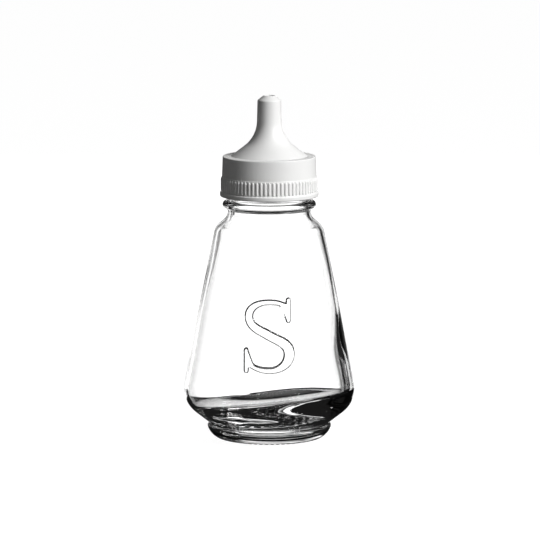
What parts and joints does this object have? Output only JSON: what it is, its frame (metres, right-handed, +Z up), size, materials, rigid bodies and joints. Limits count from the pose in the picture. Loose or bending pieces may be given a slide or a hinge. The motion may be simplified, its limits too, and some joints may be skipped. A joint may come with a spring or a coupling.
{
  "type": "salt pot",
  "caption": "Tapered clear glass salt pot with a rounded hip and foot ring, a raised letter S on its side, and a white screw cap with a ribbed grip and a flared pouring nozzle.",
  "frame": {"origin": "centre of the foot ring, on the surface that the pot stands on", "axes": "+Z up along the pot's axis, towards the nozzle's tip; -Y out of the front, where the raised letter is; +X to the right of someone who faces the letter"},
  "size_m": [0.07, 0.07, 0.1405],
  "materials": {
    "clear_glass": "clear pressed soda-lime glass, fire-polished and smooth",
    "foam_liner": "closed-cell polyethylene foam, dull",
    "white_cap": "white moulded polypropylene with a satin surface"
  },
  "bodies": {
    "jar": {"glass_jar": "clear_glass"},
    "seal": {"seal_ring": "foam_liner"},
    "cap": {"screw_cap": "white_cap"}
  },
  "joints": [
    {"name": "cap_rise", "type": "slide", "parent": "jar", "child": "seal", "axis": [0, 0, 1], "range_m": [0, 0.01681]},
    {"name": "cap_turn", "type": "hinge", "parent": "seal", "child": "cap", "pos_m": [0, 0, 0.1142], "axis": [0, 0, 1], "range_deg": [0, 1440]}
  ],
  "couplings": [
    {"joint": "cap_rise", "follows": "cap_turn", "m_per_rad": 0.00066845}
  ]
}
